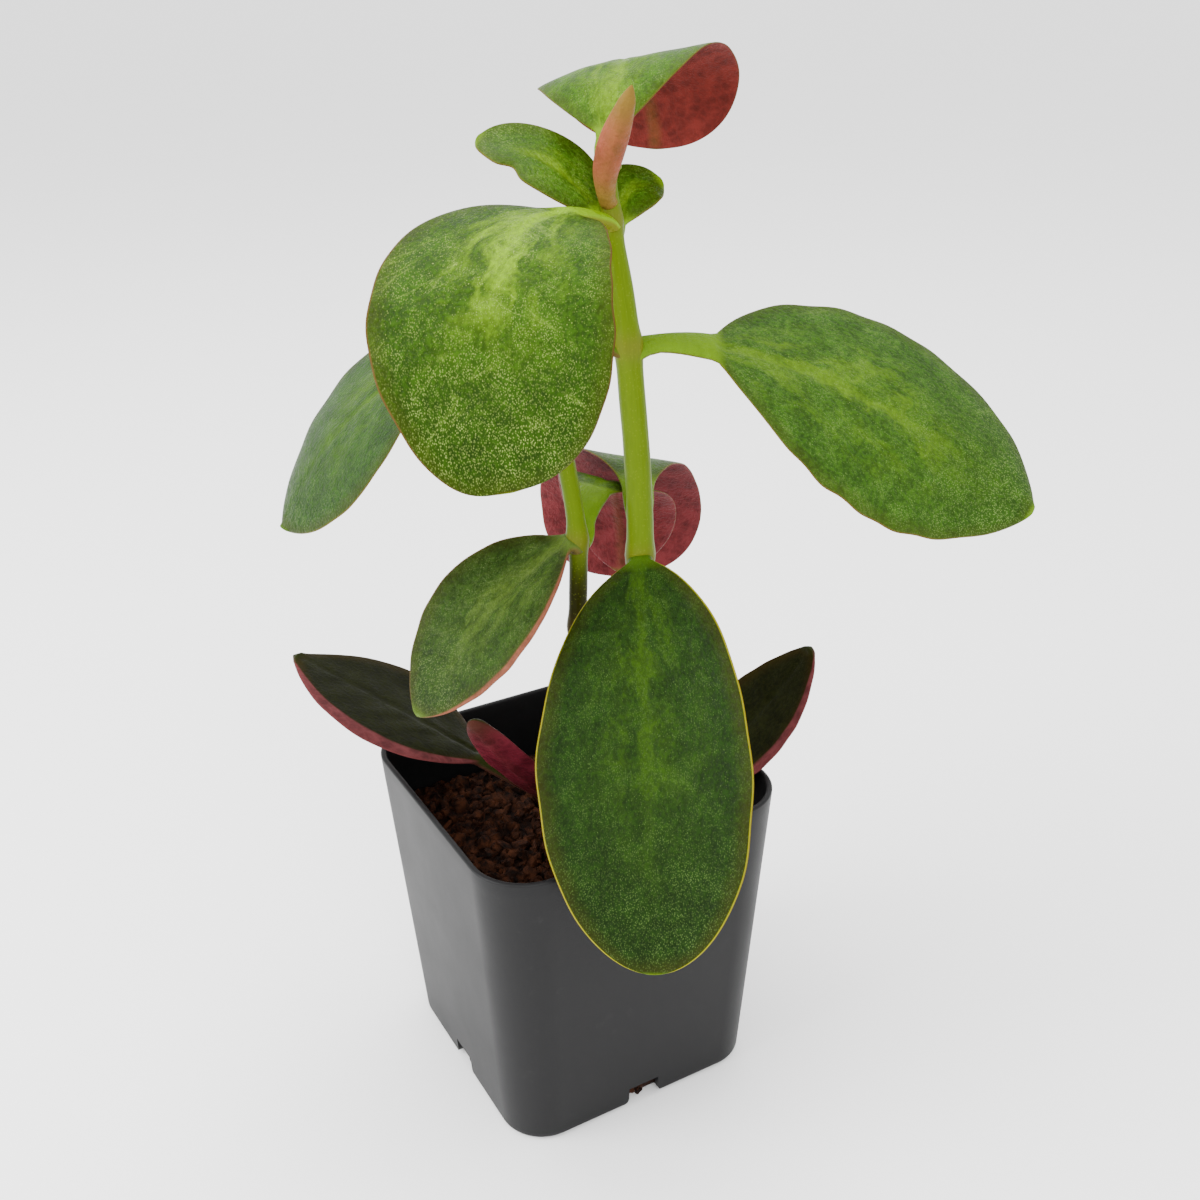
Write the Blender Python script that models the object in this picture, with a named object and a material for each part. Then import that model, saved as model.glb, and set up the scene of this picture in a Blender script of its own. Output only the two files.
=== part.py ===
"""Potted jade plant: two upright stems with fleshy leaves, rooted in a square nursery pot.

Metres, +Z up. The origin is the centre of the pot's underside, and the pot's sides face X and Y.
Each leaf, each stem, the potting mix and the pot is one object, made of one closed solid.
Headings are angles about +Z from +X, and slopes are angles above the horizontal, in degrees.
"""

from dataclasses import dataclass

import bmesh
import bpy
import numpy as np

MM = 0.001

# The pot is a tapered square tub with round corners, open at the top.
POT_HEIGHT = 72.0
POT_TOP_WIDTH = 70.0
POT_BASE_WIDTH = 60.0
POT_TOP_CORNER = 12.4
POT_BASE_CORNER = 9.8
POT_WALL = 1.3
POT_FLOOR = 1.5
POT_BASE_CHAMFER = 0.8
CORNER_STEPS = 6

# One drain notch is cut into the middle of each bottom edge.
NOTCH_WIDTH = 7.5
NOTCH_HEIGHT = 5.0
NOTCH_CORNER = 1.5
NOTCH_REACH_IN = 4.0
NOTCH_REACH_OUT = 2.0

# The potting mix fills the pot to a little below the rim and rises towards the stems.
SOIL_EDGE_LEVEL = 55.0
SOIL_CROWN_LEVEL = 57.0
SOIL_CROWN_WIDTH = 36.0

# Pieces that touch in life are this far apart in the model.
GAP = 0.3

# A stem is a list of stations, base to tip: x, y, z and radius.
MAIN_STEM = (
    (8.5, -4.5, 40.0, 3.0),
    (10.5, -5.6, 75.0, 2.9),
    (13.4, -7.5, 122.0, 2.7),
    (11.6, -6.5, 165.0, 2.5),
    (9.2, -5.1, 189.0, 1.7),
    (8.7, -4.8, 200.0, 1.4),
)
SIDE_STEM = (
    (1.0, -1.0, 40.0, 2.1),
    (1.6, -1.1, 75.0, 2.0),
    (2.0, -1.1, 106.0, 1.9),
    (2.3, -1.3, 126.0, 1.9),
    (0.8, -0.5, 141.0, 1.8),
    (-0.5, 0.5, 152.0, 1.5),
)
STEM_RINGS_PER_STATION = 4
STEM_SIDES = 10
SOCKET_TOP = 70.0

# Leaf solids share these.
STALK_HALF_THICKNESS = 1.4
BLADE_HALF_THICKNESS = 0.65
TIP_HALF_WIDTH = 0.5
LEAF_RINGS = 17
LEAF_COLUMNS = 9


@dataclass(frozen=True)
class Leaf:
    """One leaf. A pair holds the value at the stem and the value at the tip."""

    name: str
    stem: str
    height: float
    heading: tuple
    slope: tuple
    length: float
    width: float
    stalk: float = 0.0
    stalk_width: float = 4.0
    bend_ease: float = 1.0
    base_fullness: float = 0.7
    tip_fullness: float = 0.55
    roll: tuple = (0.0, 0.0)
    left_cup: tuple = (8.0, 8.0)
    right_cup: tuple = (8.0, 8.0)


LEAVES = (
    Leaf("top_leaf", "apex", 201.5, (57, 30), (72, -86), 52, 38.5, stalk=2.5,
         base_fullness=0.73, tip_fullness=0.44, roll=(-11, -5), left_cup=(-17, -14), right_cup=(6, 5)),
    Leaf("upper_left_leaf", "main", 190.5, (128, 136), (49, 4), 26.5, 17.5, stalk_width=3.6,
         base_fullness=0.5, tip_fullness=0.53, roll=(-8, -16), left_cup=(-11, 5), right_cup=(23, 38)),
    Leaf("tip_leaf", "main", 193.0, (-131, -40), (50, 74), 22.5, 6, stalk_width=2.6,
         base_fullness=0.64, tip_fullness=0.78, roll=(20, -72), left_cup=(70, 56), right_cup=(67, 64)),
    Leaf("upper_rear_leaf", "main", 187.5, (50, 4), (50, -15), 18, 12, stalk_width=3.0,
         base_fullness=0.64, tip_fullness=0.59, roll=(12, 36), left_cup=(11, 27), right_cup=(9, 10)),
    Leaf("large_front_leaf", "main", 189.0, (190, 271), (19, -88), 72.5, 40, stalk=10,
         base_fullness=0.44, tip_fullness=0.39, roll=(-7, 10), left_cup=(17, -1), right_cup=(0, 37)),
    Leaf("right_leaf", "main", 165.0, (-15, -43), (20, -38), 89, 50, stalk=14, bend_ease=0.3,
         base_fullness=0.74, tip_fullness=0.73, roll=(26, 38), left_cup=(10, -21), right_cup=(-10, -14)),
    Leaf("left_leaf", "main", 165.5, (145, 171), (32, -64), 81, 45, stalk=22, bend_ease=0.62,
         base_fullness=0.85, tip_fullness=0.67, roll=(-10, -8), left_cup=(21, -16), right_cup=(29, -24)),
    Leaf("low_front_leaf", "main", 121.5, (-120, -116), (-18, -62), 81, 42.5, bend_ease=0.3,
         base_fullness=0.61, tip_fullness=0.53, roll=(7, 13), left_cup=(27, 19), right_cup=(-2, 14)),
    Leaf("low_rear_leaf", "main", 122.5, (60, 74), (89, -96), 78, 39, stalk=11, bend_ease=0.58,
         base_fullness=1.07, tip_fullness=0.41, roll=(-1, 20), left_cup=(18, 7), right_cup=(-4, 4)),
    Leaf("side_shoot_leaf", "side", 125.0, (174, 181), (-11, -51), 46.5, 29.5, bend_ease=0.3,
         base_fullness=0.74, tip_fullness=0.75, roll=(-14, -6), left_cup=(12, -5), right_cup=(31, 15)),
    Leaf("side_shoot_rear_leaf", "side", 126.0, (43, 52), (69, -96), 55, 27, stalk=11,
         bend_ease=0.61, base_fullness=0.72, tip_fullness=0.65, roll=(11, 5), left_cup=(9, 3),
         right_cup=(1, 11)),
    Leaf("base_left_leaf", "side", 61.0, (146, 130), (35, 20), 70, 35, stalk=22, stalk_width=4.5,
         base_fullness=0.86, tip_fullness=0.97, roll=(14, 7), left_cup=(-21, 6), right_cup=(15, 5)),
    Leaf("base_folded_leaf", "side", 63.0, (210, 201), (36, 58), 49, 8.5, stalk=12, stalk_width=4.5,
         bend_ease=0.58, base_fullness=0.56, tip_fullness=0.5, roll=(16, 26), left_cup=(12, 7),
         right_cup=(12, 4)),
    Leaf("base_right_leaf", "main", 62.5, (-21, 2), (22, 50), 52, 25.5, stalk=12,
         base_fullness=0.51, tip_fullness=0.72, roll=(18, -7), left_cup=(5, 10), right_cup=(-6, 9)),
)


def clear_scene():
    """Remove the objects of the file the script is run in."""
    for item in list(bpy.data.objects):
        bpy.data.objects.remove(item, do_unlink=True)


def make_material(name, colour, roughness):
    """A plain non-metallic material."""
    material = bpy.data.materials.new(name)
    material.use_nodes = True
    shader = material.node_tree.nodes["Principled BSDF"]
    shader.inputs["Base Color"].default_value = (*colour, 1.0)
    shader.inputs["Roughness"].default_value = roughness
    shader.inputs["Metallic"].default_value = 0.0
    return material


def loft(name, rings, material=None, smooth=True):
    """Join rings of equal length into a tube and close both ends. Rings are in millimetres."""
    shape = bmesh.new()
    loops = [[shape.verts.new(point * MM) for point in ring] for ring in rings]
    for lower, upper in zip(loops, loops[1:]):
        for k in range(len(lower)):
            following = (k + 1) % len(lower)
            shape.faces.new((lower[k], lower[following], upper[following], upper[k]))
    shape.faces.new(loops[0][::-1])
    shape.faces.new(loops[-1])
    mesh = bpy.data.meshes.new(name)
    shape.to_mesh(mesh)
    shape.free()
    if smooth:
        mesh.shade_smooth()
        mesh.set_sharp_from_angle(angle=np.radians(40.0))
    item = bpy.data.objects.new(name, mesh)
    bpy.context.scene.collection.objects.link(item)
    if material is not None:
        mesh.materials.append(material)
    return item


def cut(item, cutter):
    """Take a cutter's shape out of an object, and keep the cutter out of the render."""
    cutter.hide_render = True
    cutter.display_type = "WIRE"
    boolean = item.modifiers.new(cutter.name, "BOOLEAN")
    boolean.operation = "DIFFERENCE"
    boolean.solver = "EXACT"
    boolean.object = cutter


def rounded_square(width, corner, level):
    """Points around a square with round corners, anticlockwise seen from above."""
    centre = width / 2 - corner
    points = []
    for quarter in range(4):
        middle = np.radians(45 + 90 * quarter)
        corner_x = np.sign(np.cos(middle)) * centre
        corner_y = np.sign(np.sin(middle)) * centre
        for angle in np.linspace(middle - np.pi / 4, middle + np.pi / 4, CORNER_STEPS + 1):
            points.append((corner_x + corner * np.cos(angle), corner_y + corner * np.sin(angle), level))
    return np.array(points)


def pot_outline(level, inset=0.0):
    """The pot's outer outline at a height, moved inwards by the inset."""
    share = level / POT_HEIGHT
    width = POT_BASE_WIDTH + share * (POT_TOP_WIDTH - POT_BASE_WIDTH)
    corner = POT_BASE_CORNER + share * (POT_TOP_CORNER - POT_BASE_CORNER)
    return rounded_square(width - 2 * inset, corner - inset, level)


def notch_cutter(quarter):
    """A short bar with round upper edges, lying across the pot's wall at one bottom edge."""
    half = NOTCH_WIDTH / 2
    left = [(-half + NOTCH_CORNER * (1 - np.cos(a)), NOTCH_HEIGHT - NOTCH_CORNER * (1 - np.sin(a)))
            for a in np.linspace(0.0, np.pi / 2, 4)]
    right = [(-across, up) for across, up in left[::-1]]
    outline = [(half, -1.0), (-half, -1.0)] + left + right
    inner = POT_BASE_WIDTH / 2 - NOTCH_REACH_IN
    outer = POT_BASE_WIDTH / 2 + NOTCH_REACH_OUT
    rings = [np.array([(across, -away, up) for across, up in outline]) for away in (outer, inner)]
    cutter = loft(f"notch_cutter_{quarter}", rings, smooth=False)
    cutter.rotation_euler[2] = quarter * np.pi / 2
    return cutter


def build_pot(material):
    """The tub: outer wall upwards, over the rim and down to the floor, with four notches."""
    rings = [
        pot_outline(0.0, POT_BASE_CHAMFER),
        pot_outline(POT_BASE_CHAMFER),
        pot_outline(POT_HEIGHT),
        pot_outline(POT_HEIGHT, POT_WALL),
        pot_outline(POT_FLOOR, POT_WALL),
    ]
    pot = loft("pot", rings, material)
    for quarter in range(4):
        cut(pot, notch_cutter(quarter))


def stem_stations(stem):
    """A smooth row of stations through a stem's own, by Catmull-Rom interpolation."""
    given = np.array(stem)
    padded = np.vstack([2 * given[0] - given[1], given, 2 * given[-1] - given[-2]])
    rows = []
    for k in range(1, len(padded) - 2):
        before, start, end, after = padded[k - 1:k + 3]
        for t in np.arange(STEM_RINGS_PER_STATION) / STEM_RINGS_PER_STATION:
            rows.append(0.5 * (2 * start + (end - before) * t
                               + (2 * before - 5 * start + 4 * end - after) * t ** 2
                               + (3 * start - before - 3 * end + after) * t ** 3))
    rows.append(given[-1])
    return np.array(rows)


def stem_rings(stations, extra=0.0):
    """Level rings around a stem's stations, wider than the stem by the extra."""
    angles = np.arange(STEM_SIDES) * 2 * np.pi / STEM_SIDES
    around = np.stack([np.cos(angles), np.sin(angles), 0 * angles], -1)
    return [row[:3] + (row[3] + extra) * around for row in stations]


def build_stem(name, stem, material):
    """A stem from its foot in the potting mix to a rounded tip."""
    rings = stem_rings(stem_stations(stem))
    top_centre = rings[-1].mean(axis=0)
    tip = top_centre + 0.55 * (rings[-1] - top_centre) + np.array((0.0, 0.0, 0.5))
    loft(name, rings + [tip], material)


def socket_cutter(name, stem):
    """The hole a stem makes in the potting mix, from just below its foot to above the surface."""
    stations = stem_stations(stem)
    stations = stations[stations[:, 2] < SOCKET_TOP]
    foot = stations[0] - np.array((0.0, 0.0, GAP, 0.0))
    return loft(name, stem_rings(np.vstack([foot, stations]), GAP), smooth=False)


def build_potting_mix(material):
    """The block of mix inside the pot, with a low crown and a socket for each stem."""
    lining = POT_WALL + GAP
    crown_corner = SOIL_CROWN_WIDTH / 3
    rings = [
        pot_outline(POT_FLOOR + GAP, lining),
        pot_outline(SOIL_EDGE_LEVEL, lining),
        rounded_square(SOIL_CROWN_WIDTH, crown_corner, SOIL_CROWN_LEVEL),
    ]
    mix = loft("potting_mix", rings, material)
    cut(mix, socket_cutter("main_socket_cutter", MAIN_STEM))
    cut(mix, socket_cutter("side_socket_cutter", SIDE_STEM))


def leaf_root(leaf):
    """Where a leaf starts: just outside its stem, on the side it heads for."""
    if leaf.stem == "apex":
        return np.array((*MAIN_STEM[-1][:2], leaf.height))
    stations = np.array(MAIN_STEM if leaf.stem == "main" else SIDE_STEM)
    x, y, radius = (np.interp(leaf.height, stations[:, 2], stations[:, k]) for k in (0, 1, 3))
    lift = abs(np.sin(np.radians(leaf.slope[0])))
    stand_off = radius + GAP + 0.05 + STALK_HALF_THICKNESS * lift
    heading = np.radians(leaf.heading[0])
    return np.array((x + stand_off * np.cos(heading), y + stand_off * np.sin(heading), leaf.height))


def leaf_frame(leaf):
    """Midrib points and the directions across and up from the blade, from stem to tip."""
    along = np.linspace(0.0, 1.0, LEAF_RINGS)
    heading = np.radians(leaf.heading[0] + (leaf.heading[1] - leaf.heading[0]) * along)
    slope = np.radians(leaf.slope[0] + (leaf.slope[1] - leaf.slope[0]) * along ** leaf.bend_ease)
    roll = np.radians(leaf.roll[0] + (leaf.roll[1] - leaf.roll[0]) * along)
    forward = np.stack([np.cos(slope) * np.cos(heading), np.cos(slope) * np.sin(heading),
                        np.sin(slope)], -1)
    level = np.stack([-np.sin(heading), np.cos(heading), 0 * heading], -1)
    across = level * np.cos(roll)[:, None] + np.cross(forward, level) * np.sin(roll)[:, None]
    steps = (forward[1:] + forward[:-1]) / 2 * leaf.length / (LEAF_RINGS - 1)
    midrib = leaf_root(leaf) + np.vstack([np.zeros(3), np.cumsum(steps, axis=0)])
    return along, midrib, across, np.cross(forward, across)


def leaf_half_width(leaf, along):
    """A stalk that widens into a blade: rising and falling powers, widest where they balance."""
    share = np.clip((along * leaf.length - leaf.stalk) / (leaf.length - leaf.stalk), 0.0, 1.0)
    widest = leaf.base_fullness / (leaf.base_fullness + leaf.tip_fullness)
    rise = (share / widest) ** leaf.base_fullness
    fall = ((1 - share) / (1 - widest)) ** leaf.tip_fullness
    blade = leaf.width / 2 * rise * fall
    stalk = leaf.stalk_width / 2 * np.sqrt(1 - share)
    return np.maximum(np.hypot(stalk, blade), TIP_HALF_WIDTH), share


def build_leaf(leaf, material):
    """A closed leaf: each ring is a thin lens bent into an arc on each side of the midrib."""
    along, midrib, across, up = leaf_frame(leaf)
    half_width, share = leaf_half_width(leaf, along)
    half_thickness = BLADE_HALF_THICKNESS + (STALK_HALF_THICKNESS - BLADE_HALF_THICKNESS) * (1 - share) ** 6
    half_thickness = np.minimum(half_thickness, 0.7 * half_width)
    place = -np.cos(np.linspace(0.0, np.pi, LEAF_COLUMNS))
    rings = []
    for k in range(LEAF_RINGS):
        cups = [ends[0] + (ends[1] - ends[0]) * along[k] for ends in (leaf.right_cup, leaf.left_cup)]
        cup = np.radians(np.where(place < 0, cups[0], cups[1]))
        cup = np.where(np.abs(cup) < 0.001, 0.001, cup)
        turn = cup * np.abs(place)
        side = np.sign(place)
        sideways = side * np.sin(turn) / cup * half_width[k]
        rise = (1 - np.cos(turn)) / cup * half_width[k]
        sheet = midrib[k] + sideways[:, None] * across[k] + rise[:, None] * up[k]
        outwards = np.cos(turn)[:, None] * up[k] - (side * np.sin(turn))[:, None] * across[k]
        lens = half_thickness[k] * np.sqrt(np.clip(1 - place ** 2, 0.0, 1.0))
        top = sheet + lens[:, None] * outwards
        bottom = sheet - lens[:, None] * outwards
        rings.append(np.vstack([bottom, top[-2:0:-1]]))
    loft(leaf.name, rings, material)


def main():
    """Build every piece of the plant and its pot."""
    clear_scene()
    build_pot(make_material("black_plastic", (0.035, 0.036, 0.040), 0.45))
    build_potting_mix(make_material("bark_mix", (0.060, 0.025, 0.012), 0.95))
    stem_material = make_material("green_stem", (0.42, 0.55, 0.05), 0.45)
    build_stem("main_stem", MAIN_STEM, stem_material)
    build_stem("side_stem", SIDE_STEM, stem_material)
    leaf_material = make_material("green_leaf", (0.07, 0.15, 0.04), 0.40)
    for leaf in LEAVES:
        build_leaf(leaf, leaf_material)


main()
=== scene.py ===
"""The visible surfaces of a potted jade plant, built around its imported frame.

Metres in the scene, millimetres in the tables below, +Z up. Headings are angles about +Z from +X,
and slopes are angles above the horizontal, in degrees. A leaf's upper side faces its stem's tip.
"""

from dataclasses import dataclass

import bpy
import numpy as np
from mathutils import Matrix, Vector


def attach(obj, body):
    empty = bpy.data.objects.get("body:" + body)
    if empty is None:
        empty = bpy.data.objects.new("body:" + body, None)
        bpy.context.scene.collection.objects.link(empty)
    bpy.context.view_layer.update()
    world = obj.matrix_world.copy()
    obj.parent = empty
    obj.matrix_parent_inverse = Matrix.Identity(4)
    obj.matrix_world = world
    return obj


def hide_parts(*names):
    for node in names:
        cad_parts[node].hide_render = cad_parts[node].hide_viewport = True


bl_info = {
    "name": "Potted Jade Plant",
    "version": (1, 0, 0),
    "blender": (4, 5, 0),
    "location": "View3D > Sidebar > Plant",
    "description": "Leaves, stems, potting mix and nursery pot of a young potted plant",
    "category": "Add Mesh",
}

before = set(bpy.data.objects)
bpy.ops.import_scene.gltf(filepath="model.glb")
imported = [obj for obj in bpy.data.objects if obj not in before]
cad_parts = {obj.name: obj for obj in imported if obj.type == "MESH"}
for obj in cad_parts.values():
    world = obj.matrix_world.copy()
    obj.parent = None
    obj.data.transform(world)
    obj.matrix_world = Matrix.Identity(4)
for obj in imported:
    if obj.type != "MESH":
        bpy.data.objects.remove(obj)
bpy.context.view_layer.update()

MM = 0.001
BODY = "root"

# Stem stations, foot to tip: x, y, z and radius.
MAIN_STEM = (
    (8.5, -4.5, 40.0, 3.0),
    (10.5, -5.6, 75.0, 2.9),
    (13.4, -7.5, 122.0, 2.7),
    (11.6, -6.5, 165.0, 2.5),
    (9.2, -5.1, 189.0, 1.7),
    (8.7, -4.8, 200.0, 1.4),
)
SIDE_STEM = (
    (1.0, -1.0, 40.0, 2.1),
    (1.6, -1.1, 75.0, 2.0),
    (2.0, -1.1, 106.0, 1.9),
    (2.3, -1.3, 126.0, 1.9),
    (0.8, -0.5, 141.0, 1.8),
    (-0.5, 0.5, 152.0, 1.5),
)
MAIN_NODES = (60.0, 122.0, 165.5, 189.0)
SIDE_NODES = (61.0, 106.0, 125.5)


@dataclass(frozen=True)
class Leaf:
    """One leaf. A pair holds the value at the stem and the value at the tip."""

    name: str
    stem: str
    height: float
    heading: tuple
    slope: tuple
    length: float
    width: float
    stalk: float = 0.0
    stalk_width: float = 4.0
    bend_ease: float = 1.0
    base_fullness: float = 0.7
    tip_fullness: float = 0.55
    roll: tuple = (0.0, 0.0)
    left_cup: tuple = (8.0, 8.0)
    right_cup: tuple = (8.0, 8.0)
    finish: str = "mature"
    bite: float = 0.0
    fold: float = 0.0


LEAVES = (
    Leaf("top_leaf", "apex", 201.5, (57, 30), (72, -86), 52, 38.5, stalk=2.5, finish="young",
         base_fullness=0.73, tip_fullness=0.44, roll=(-11, -5), left_cup=(-17, -14), right_cup=(6, 5)),
    Leaf("upper_left_leaf", "main", 190.5, (128, 136), (49, 4), 26.5, 17.5, stalk_width=3.6,
         base_fullness=0.5, tip_fullness=0.53, roll=(-8, -16), left_cup=(-11, 5), right_cup=(23, 38),
         finish="young", bite=2.2),
    Leaf("tip_leaf", "main", 193.0, (-131, -40), (50, 74), 22.5, 6, stalk_width=2.6, finish="tender",
         base_fullness=0.64, tip_fullness=0.78, roll=(20, -72), left_cup=(70, 56), right_cup=(67, 64)),
    Leaf("upper_rear_leaf", "main", 187.5, (50, 4), (50, -15), 18, 12, stalk_width=3.0,
         base_fullness=0.64, tip_fullness=0.59, roll=(12, 36), left_cup=(11, 27), right_cup=(9, 10),
         finish="young"),
    Leaf("large_front_leaf", "main", 189.0, (190, 271), (19, -88), 72.5, 40, stalk=10,
         base_fullness=0.44, tip_fullness=0.39, roll=(-7, 10), left_cup=(17, -1), right_cup=(0, 37),
         finish="sunlit"),
    Leaf("right_leaf", "main", 165.0, (-15, -43), (20, -38), 89, 50, stalk=14, bend_ease=0.3,
         base_fullness=0.74, tip_fullness=0.73, roll=(26, 38), left_cup=(10, -21), right_cup=(-10, -14)),
    Leaf("left_leaf", "main", 165.5, (145, 171), (32, -64), 81, 45, stalk=22, bend_ease=0.62,
         base_fullness=0.85, tip_fullness=0.67, roll=(-10, -8), left_cup=(21, -16), right_cup=(29, -24),
         finish="mature_in_painted_shade"),
    Leaf("low_front_leaf", "main", 121.5, (-120, -116), (-18, -62), 81, 42.5, bend_ease=0.3,
         base_fullness=0.61, tip_fullness=0.53, roll=(7, 13), left_cup=(27, 19), right_cup=(-2, 14),
         finish="shaded"),
    Leaf("low_rear_leaf", "main", 122.5, (60, 74), (89, -96), 78, 39, stalk=11, bend_ease=0.58,
         base_fullness=1.07, tip_fullness=0.41, roll=(-1, 20), left_cup=(18, 7), right_cup=(-4, 4)),
    Leaf("side_shoot_leaf", "side", 125.0, (174, 181), (-11, -51), 46.5, 29.5, bend_ease=0.3,
         base_fullness=0.74, tip_fullness=0.75, roll=(-14, -6), left_cup=(12, -5), right_cup=(31, 15),
         finish="pale", fold=1.3),
    Leaf("side_shoot_rear_leaf", "side", 126.0, (43, 52), (69, -96), 55, 27, stalk=11,
         bend_ease=0.61, base_fullness=0.72, tip_fullness=0.65, roll=(11, 5), left_cup=(9, 3),
         right_cup=(1, 11)),
    Leaf("base_left_leaf", "side", 61.0, (146, 130), (35, 20), 70, 35, stalk=22, stalk_width=4.5,
         base_fullness=0.86, tip_fullness=0.97, roll=(14, 7), left_cup=(-21, 6), right_cup=(15, 5),
         finish="dark", fold=3.6),
    Leaf("base_folded_leaf", "side", 63.0, (210, 201), (36, 58), 49, 8.5, stalk=12, stalk_width=4.5,
         bend_ease=0.58, base_fullness=0.56, tip_fullness=0.5, roll=(16, 26), left_cup=(12, 7),
         right_cup=(12, 4), finish="maroon"),
    Leaf("base_right_leaf", "main", 62.5, (-21, 2), (22, 50), 52, 25.5, stalk=12,
         base_fullness=0.51, tip_fullness=0.72, roll=(18, -7), left_cup=(5, 10), right_cup=(-6, 9),
         finish="dark", fold=-2.2),
)

@dataclass(frozen=True)
class LeafFinish:
    """One kind of leaf, or one leaf's colours painted lighter or darker for light and shade: its colours,
    its midrib's glow and how far along that reaches, and its sheen.
    """

    blade: tuple
    glow: tuple
    freckle: tuple
    underside: tuple
    margin: tuple
    glow_strength: float
    glow_reach: float
    relief: float = 0.7
    sheen: float = 0.05


LEAF_FINISHES = {
    "young": LeafFinish(
        (0.024, 0.066, 0.002), (0.105, 0.190, 0.002), (0.180, 0.260, 0.060),
        (0.090, 0.012, 0.009), (0.060, 0.070, 0.006), 0.75, 0.9),
    "tender": LeafFinish(
        (0.040, 0.080, 0.003), (0.120, 0.170, 0.002), (0.180, 0.260, 0.060),
        (0.200, 0.028, 0.028), (0.150, 0.030, 0.018), 0.4, 0.8),
    "sunlit": LeafFinish(
        (0.017, 0.048, 0.001), (0.140, 0.260, 0.0005), (0.260, 0.340, 0.080),
        (0.110, 0.030, 0.016), (0.050, 0.040, 0.004), 1.0, 0.66),
    "mature": LeafFinish(
        (0.019, 0.054, 0.003), (0.085, 0.165, 0.003), (0.150, 0.230, 0.060),
        (0.115, 0.019, 0.021), (0.070, 0.070, 0.006), 0.75, 0.9),
    # Painted shade: the mature colours made darker, for the left leaf.
    "mature_in_painted_shade": LeafFinish(
        (0.011, 0.036, 0.0025), (0.050, 0.105, 0.004), (0.090, 0.140, 0.045),
        (0.100, 0.014, 0.016), (0.070, 0.070, 0.006), 0.75, 0.9),
    "pale": LeafFinish(
        (0.013, 0.032, 0.003), (0.062, 0.105, 0.014), (0.110, 0.150, 0.050),
        (0.120, 0.040, 0.022), (0.080, 0.050, 0.020), 0.9, 0.85),
    "shaded": LeafFinish(
        (0.0055, 0.0185, 0.0008), (0.036, 0.082, 0.002), (0.060, 0.105, 0.025),
        (0.090, 0.013, 0.014), (0.200, 0.200, 0.003), 0.45, 0.85),
    "dark": LeafFinish(
        (0.0065, 0.0078, 0.0016), (0.012, 0.016, 0.003), (0.018, 0.022, 0.006),
        (0.082, 0.021, 0.022), (0.055, 0.022, 0.014), 0.3, 0.7, relief=0.30, sheen=0.02),
    "maroon": LeafFinish(
        (0.012, 0.012, 0.004), (0.014, 0.016, 0.004), (0.022, 0.020, 0.008),
        (0.052, 0.006, 0.010), (0.080, 0.012, 0.014), 0.2, 0.7, relief=0.30, sheen=0.02),
}


def length_property(name, description, default):
    """A length, in metres."""
    return bpy.props.FloatProperty(name=name, description=description, default=default, unit="LENGTH")


def colour_property(name, description, default):
    """A colour, as linear red, green and blue."""
    return bpy.props.FloatVectorProperty(
        name=name, description=description, subtype="COLOR", default=default)


class PLANT_PG_leaves(bpy.types.PropertyGroup):
    """Sizes shared by every leaf."""

    rows: bpy.props.IntProperty(
        name="Rows", description="Grid rows from stalk to tip", default=120, min=20, max=240)
    columns: bpy.props.IntProperty(
        name="Columns", description="Grid columns across a blade", default=49, min=9, max=99)
    blade_thickness: length_property("Blade thickness", "Thickness at the middle of a blade", 1.3 * MM)
    stalk_thickness: length_property("Stalk thickness", "Thickness of a leaf stalk", 2.8 * MM)
    groove_depth: length_property("Groove depth", "Depth of the groove above the midrib", 0.35 * MM)
    margin_wave: length_property("Margin wave", "How far a blade's margin waves up and down", 0.45 * MM)


class PLANT_PG_stems(bpy.types.PropertyGroup):
    """Sizes and colours of the stems."""

    sides: bpy.props.IntProperty(name="Sides", description="Grid columns around", default=48, min=8, max=96)
    node_swelling: length_property("Node swelling", "Extra radius where leaves grow", 0.5 * MM)
    fresh_colour: colour_property("Fresh colour", "Colour of the young stem", (0.072, 0.120, 0.0001))
    old_colour: colour_property(
        "Old colour", "Colour of the stem near the potting mix", (0.018, 0.019, 0.0004))


class PLANT_PG_mix(bpy.types.PropertyGroup):
    """Sizes and colours of the potting mix."""

    crumbs: bpy.props.IntProperty(name="Crumbs", description="Bark crumbs on top", default=2400, min=0)
    fibres: bpy.props.IntProperty(name="Fibres", description="Coir fibres on top", default=160, min=0)
    crumb_size: length_property("Crumb size", "Length of a usual crumb", 1.8 * MM)
    seed: bpy.props.IntProperty(name="Seed", description="Seed of the crumbs' places", default=7)
    dark_colour: colour_property("Dark colour", "Colour of moist bark", (0.0035, 0.0014, 0.0008))
    light_colour: colour_property("Light colour", "Colour of fresh bark faces", (0.030, 0.0095, 0.0035))


class PLANT_PG_pot(bpy.types.PropertyGroup):
    """Sizes and colours of the pot."""

    corner_steps: bpy.props.IntProperty(
        name="Corner steps", description="Grid columns around one corner", default=16, min=4, max=64)
    wall: length_property("Wall", "Wall thickness", 1.3 * MM)
    lip: length_property("Lip rounding", "Radius of the rim's edges", 0.5 * MM)
    colour: colour_property("Colour", "Colour of the plastic", (0.0060, 0.0060, 0.0063))


class PLANT_PG_stage(bpy.types.PropertyGroup):
    """Floor, light and camera."""

    floor_colour: colour_property("Floor colour", "Colour of the floor", (0.92, 0.92, 0.92))
    light_power: bpy.props.FloatProperty(
        name="Light", description="Strength of the studio light, times its usual", default=1.0)
    camera_distance: length_property("Camera distance", "From the plant's middle", 0.280)


# ---------------------------------------------------------------- mesh helpers


def add_object(name, data):
    """A new object in the scene."""
    item = bpy.data.objects.new(name, data)
    bpy.context.scene.collection.objects.link(item)
    return item


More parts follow.
